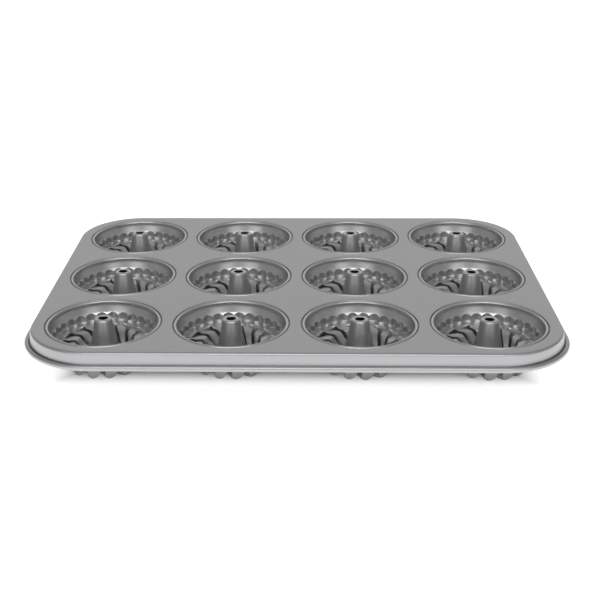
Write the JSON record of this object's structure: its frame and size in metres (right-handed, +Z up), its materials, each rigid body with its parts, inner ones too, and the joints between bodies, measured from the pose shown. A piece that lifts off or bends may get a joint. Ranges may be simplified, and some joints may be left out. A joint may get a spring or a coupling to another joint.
{
  "type": "mini fluted tube pan",
  "caption": "Pressed steel tray with a rolled hem and a grid of small fluted ring-cake cups, each with swirling ribs and an open centre tube.",
  "frame": {"origin": "under the middle of the tray, on the plane that the pan stands on", "axes": "+X along the tray's long side, +Y towards its back side, +Z up out of the cups"},
  "size_m": [0.3492, 0.2666, 0.0319],
  "materials": {
    "tray_steel": "satin grey bakeware steel",
    "cup_steel": "bright drawn steel",
    "wire_steel": "plain drawn wire"
  },
  "bodies": {
    "root": {"tray_plate": "tray_steel", "rim_wire": "wire_steel", "cup_r1_c1": "cup_steel", "cup_r1_c2": "cup_steel", "cup_r1_c3": "cup_steel", "cup_r1_c4": "cup_steel", "cup_r2_c1": "cup_steel", "cup_r2_c2": "cup_steel", "cup_r2_c3": "cup_steel", "cup_r2_c4": "cup_steel", "cup_r3_c1": "cup_steel", "cup_r3_c2": "cup_steel", "cup_r3_c3": "cup_steel", "cup_r3_c4": "cup_steel"}
  },
  "joints": []
}
